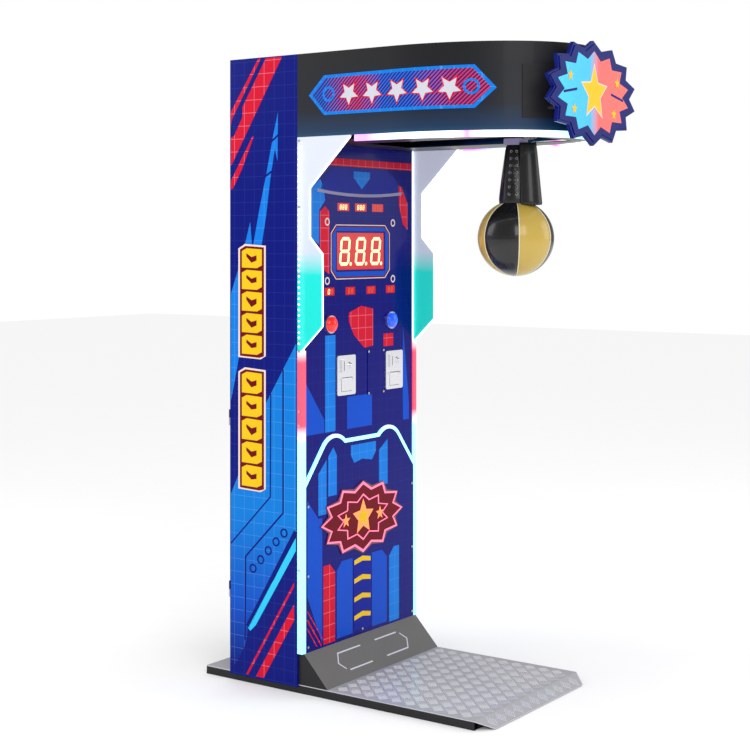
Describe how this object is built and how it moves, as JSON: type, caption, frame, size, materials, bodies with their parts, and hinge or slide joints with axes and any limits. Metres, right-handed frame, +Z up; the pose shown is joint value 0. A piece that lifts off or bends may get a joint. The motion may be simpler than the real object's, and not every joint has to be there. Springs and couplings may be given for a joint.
{
  "type": "boxing punch machine",
  "caption": "Upright arcade punch machine: tread-plate deck, lit cabinet, curved overhead header, hinged ball arm with latch, score displays and coin entries.",
  "frame": {"origin": "on the floor, in the middle of the width, under the face of the upper front panel", "axes": "+Z up, front facing -Y, +X to the player's right"},
  "size_m": [0.7094, 1.376, 2.212],
  "materials": {
    "black_steel": "satin black powder coat",
    "tread_plate": "five-bar tread",
    "satin_steel": "satin",
    "side_print": "printed vinyl over board",
    "black_cover": "fine textured satin",
    "soffit_black": "gloss black",
    "zinc": "zinc plated",
    "chrome": "chrome plated",
    "front_print": "back-printed acrylic",
    "light_tube": "opal diffuser, lit",
    "frosted": "frosted acrylic",
    "emblem": "printed acrylic, lit",
    "sign_navy": "navy gloss edge",
    "red_filter": "red display filter",
    "circuit": "green circuit board",
    "black_plastic": "moulded",
    "grey_metal": "folded case",
    "button_ring": "bright ring",
    "red_button": "translucent, lit",
    "blue_button": "translucent, lit",
    "ball_leather": "black and tan panels",
    "black_leather": "black",
    "collar_grey": "painted",
    "rubber": "black"
  },
  "bodies": {
    "cabinet": {"base_rails": "black_steel", "cabinet_frame": "black_steel", "header_frame": "black_steel", "bearing_blocks": "black_steel", "latch_bracket": "black_steel", "kick_end_plates": "black_steel", "back_panels": "black_steel", "service_shelf": "black_steel", "cash_box": "black_steel", "sign_bracket": "black_steel", "deck_plate": "tread_plate", "kick_plate": "satin_steel", "side_panel_left": "side_print", "side_panel_right": "side_print", "top_panel": "black_cover", "header_shell": "black_cover", "header_soffit": "soffit_black", "door_hinge_pins": "zinc", "panel_fasteners": "zinc", "coin_plates": "chrome", "upper_front_panel": "front_print", "lower_front_panel": "front_print", "blanking_plate": "front_print", "neon_strip": "light_tube", "header_light_band": "light_tube", "corner_diffusers": "light_tube", "side_wings": "frosted", "front_emblem": "emblem", "sign_face": "emblem", "sign_body": "sign_navy", "display_filters": "red_filter", "display_boards": "circuit", "main_board": "circuit", "power_inlet": "black_plastic", "coin_mechs": "black_plastic", "speed_sensor": "black_plastic", "speakers": "black_plastic", "solenoid_body": "black_plastic", "power_supply": "grey_metal", "button_housings": "button_ring", "arm_buffer": "rubber"},
    "door": {"back_door": "black_steel", "door_lock_barrel": "zinc"},
    "lock_cam": {"door_lock_cam": "zinc"},
    "arm": {"swing_arm": "black_steel", "pivot_shaft": "zinc", "neck_collar": "collar_grey", "neck_skirt": "black_leather", "arm_pad": "black_leather", "ball": "ball_leather", "speed_disc": "zinc"},
    "hook": {"latch_hook": "zinc"},
    "plunger": {"solenoid_plunger": "zinc"},
    "red_cap": {"red_button_cap": "red_button"},
    "blue_cap": {"blue_button_cap": "blue_button"},
    "flap_left": {"return_flap_left": "chrome"},
    "flap_right": {"return_flap_right": "chrome"},
    "reject_left": {"reject_button_left": "chrome"},
    "reject_right": {"reject_button_right": "chrome"},
    "rocker": {"power_rocker": "black_plastic"}
  },
  "joints": [
    {"name": "punch_swing", "type": "hinge", "parent": "cabinet", "child": "arm", "pos_m": [0, -0.645, 1.9607], "axis": [1, 0, 0], "range_deg": [0, 90]},
    {"name": "latch_close", "type": "hinge", "parent": "cabinet", "child": "hook", "pos_m": [-0.04, -0.73, 2.0157], "axis": [1, 0, 0], "range_deg": [0, 25]},
    {"name": "solenoid_pull", "type": "slide", "parent": "cabinet", "child": "plunger", "axis": [0, -1, 0], "range_m": [0, 0.0125]},
    {"name": "red_press", "type": "slide", "parent": "cabinet", "child": "red_cap", "axis": [0, 1, 0], "range_m": [0, 0.004], "stiffness_N_per_m": 300, "springref_m": -0.004},
    {"name": "blue_press", "type": "slide", "parent": "cabinet", "child": "blue_cap", "axis": [0, 1, 0], "range_m": [0, 0.004], "stiffness_N_per_m": 300, "springref_m": -0.004},
    {"name": "reject_left_press", "type": "slide", "parent": "cabinet", "child": "reject_left", "axis": [0, 1, 0], "range_m": [0, 0.005], "stiffness_N_per_m": 200, "springref_m": -0.003},
    {"name": "flap_left_swing", "type": "hinge", "parent": "cabinet", "child": "flap_left", "pos_m": [-0.094, -0.005, 1.0665], "axis": [1, 0, 0], "range_deg": [0, 55]},
    {"name": "reject_right_press", "type": "slide", "parent": "cabinet", "child": "reject_right", "axis": [0, 1, 0], "range_m": [0, 0.005], "stiffness_N_per_m": 200, "springref_m": -0.003},
    {"name": "flap_right_swing", "type": "hinge", "parent": "cabinet", "child": "flap_right", "pos_m": [0.207, -0.005, 1.0665], "axis": [1, 0, 0], "range_deg": [0, 55]},
    {"name": "door_swing", "type": "hinge", "parent": "cabinet", "child": "door", "pos_m": [-0.345, 0.3245, 0.625], "axis": [0, 0, 1], "range_deg": [0, 110]},
    {"name": "lock_turn", "type": "hinge", "parent": "door", "child": "lock_cam", "pos_m": [0.291, 0.3, 0.64], "axis": [0, -1, 0], "range_deg": [0, 90]},
    {"name": "power_rock", "type": "hinge", "parent": "cabinet", "child": "rocker", "pos_m": [0.18, 0.315, 0.106], "axis": [1, 0, 0], "range_deg": [0, 12]}
  ],
  "couplings": [
    {"joint": "solenoid_pull", "follows": "latch_close", "m_per_rad": 0.028}
  ]
}
